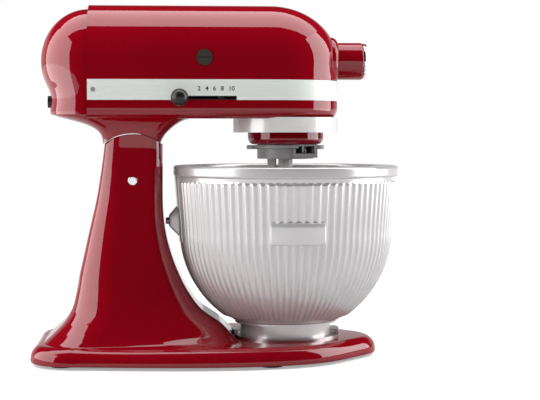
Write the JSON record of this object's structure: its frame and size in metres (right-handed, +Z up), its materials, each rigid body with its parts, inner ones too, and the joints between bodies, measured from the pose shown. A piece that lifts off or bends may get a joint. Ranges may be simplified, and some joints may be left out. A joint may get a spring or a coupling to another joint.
{
  "type": "ice cream maker",
  "caption": "Tilt-head stand mixer carrying a ribbed freeze bowl with a driven dasher, for churning ice cream.",
  "frame": {"origin": "on the floor, under the middle of the whole machine's box", "axes": "+X towards the attachment hub on the nose, +Y to the side with the head lock, +Z up"},
  "size_m": [0.3664, 0.227, 0.3526],
  "materials": {
    "red_enamel": "glossy baked enamel, dark red",
    "band_metal": "satin silver trim",
    "ring_metal": "bright rolled steel",
    "chrome": "polished chrome",
    "steel": "brushed steel",
    "machined_steel": "machined steel",
    "black_plastic": "gloss black plastic",
    "cap_plastic": "dark moulded plastic",
    "grey_plastic": "dark grey moulded plastic",
    "bowl_plastic": "pale grey moulded plastic",
    "bowl_rim": "mid grey moulded plastic",
    "liner": "spun aluminium",
    "dasher_plastic": "pale moulded plastic",
    "coolant": "frozen coolant",
    "rubber": "matt rubber",
    "cast_aluminium": "plain casting",
    "lamination": "stacked laminations",
    "copper": "enamelled copper",
    "bronze": "sintered bronze",
    "carbon": "pressed carbon",
    "gear_steel": "hobbed steel"
  },
  "bodies": {
    "stand": {"base_casting": "red_enamel", "rubber_feet": "rubber", "pedestal_column": "red_enamel", "hinge_pin": "chrome", "hinge_set_screw": "machined_steel", "column_bolts": "machined_steel", "head_height_screw": "machined_steel", "bowl_clamp_plate": "steel", "clamp_plate_screws": "steel"},
    "bowl": {"bowl_outer_shell": "bowl_plastic", "bowl_catch_pin": "steel", "bowl_liner": "liner", "bowl_rim_ring": "bowl_rim", "coolant_fill": "coolant"},
    "dasher": {"dasher": "dasher_plastic"},
    "head": {"motor_housing": "red_enamel", "gearcase_housing": "red_enamel", "rear_cover": "red_enamel", "trim_band": "band_metal", "drip_ring": "ring_metal", "trim_screws": "steel", "rear_cover_screw": "machined_steel", "slot_liner": "black_plastic", "brush_caps": "cap_plastic", "brush_holders": "black_plastic", "carbon_brushes": "carbon", "brush_springs": "machined_steel", "stator_core": "lamination", "field_coils": "copper", "rear_bearing_bracket": "cast_aluminium", "transmission_bracket": "cast_aluminium", "armature_bushes": "bronze", "ring_gear": "gear_steel", "ring_gear_screws": "machined_steel", "control_plate": "carbon", "center_shaft_bush": "bronze", "cord_gland": "black_plastic", "hub_cover_pin": "steel"},
    "speed_lever": {"speed_knob": "black_plastic", "speed_lever_arm": "machined_steel"},
    "head_lock": {"lock_knob": "black_plastic", "lock_bolt": "machined_steel"},
    "armature": {"armature_shaft": "machined_steel", "armature_core": "lamination", "commutator": "copper", "cooling_fan": "black_plastic", "governor": "black_plastic"},
    "transfer_gears": {"worm_wheel": "bronze", "transfer_pinion": "gear_steel"},
    "planetary": {"center_gear": "gear_steel", "center_shaft": "machined_steel", "shaft_bevel_gear": "gear_steel", "planetary_hub": "red_enamel", "drive_ring": "grey_plastic"},
    "agitator": {"agitator_shaft": "machined_steel", "agitator_pinion": "gear_steel"},
    "hub_drive": {"hub_bevel_gear": "gear_steel", "hub_socket": "machined_steel"},
    "hub_cover": {"hub_cover": "chrome"},
    "attachment_knob": {"attachment_knob": "black_plastic"}
  },
  "joints": [
    {"name": "head_tilt", "type": "hinge", "parent": "stand", "child": "head", "pos_m": [-0.08375, 0, 0.1781], "axis": [0, -1, 0], "range_deg": [0, 45]},
    {"name": "bowl_twist", "type": "hinge", "parent": "stand", "child": "bowl", "pos_m": [0.06975, 0, 0.0195], "axis": [0, 0, 1], "range_deg": [0, 32]},
    {"name": "dasher_spin", "type": "hinge", "parent": "bowl", "child": "dasher", "pos_m": [0.06975, 0, 0.064], "axis": [0, 0, 1], "continuous": true},
    {"name": "planetary_spin", "type": "hinge", "parent": "head", "child": "planetary", "pos_m": [0.06975, 0, 0.2135], "axis": [0, 0, 1], "continuous": true},
    {"name": "agitator_spin", "type": "hinge", "parent": "planetary", "child": "agitator", "pos_m": [0.08705, -0.00496, 0.2135], "axis": [0, 0, 1], "continuous": true},
    {"name": "transfer_spin", "type": "hinge", "parent": "head", "child": "transfer_gears", "pos_m": [0.03713, 0.024, 0.262], "axis": [0, 0, 1], "continuous": true},
    {"name": "armature_spin", "type": "hinge", "parent": "head", "child": "armature", "pos_m": [-0.08025, 0, 0.2974], "axis": [1, 0, 0], "continuous": true},
    {"name": "hub_spin", "type": "hinge", "parent": "head", "child": "hub_drive", "pos_m": [0.10975, 0, 0.2974], "axis": [1, 0, 0], "continuous": true},
    {"name": "hub_cover_swing", "type": "hinge", "parent": "head", "child": "hub_cover", "pos_m": [0.14965, 0, 0.313], "axis": [0, -1, 0], "range_deg": [0, 110]},
    {"name": "attachment_knob_turn", "type": "hinge", "parent": "head", "child": "attachment_knob", "pos_m": [0.13375, 0.0187, 0.2974], "axis": [0, 1, 0], "range_deg": [0, 360]},
    {"name": "speed_lever_slide", "type": "slide", "parent": "head", "child": "speed_lever", "axis": [1, 0, 0], "range_m": [0, 0.048]},
    {"name": "head_lock_slide", "type": "slide", "parent": "head", "child": "head_lock", "axis": [1, 0, 0], "range_m": [0, 0.012]}
  ],
  "couplings": [
    {"joint": "dasher_spin", "follows": "planetary_spin", "ratio": 1},
    {"joint": "agitator_spin", "follows": "planetary_spin", "ratio": -3.5},
    {"joint": "transfer_spin", "follows": "planetary_spin", "ratio": -2.8571},
    {"joint": "hub_spin", "follows": "planetary_spin", "ratio": 1}
  ]
}
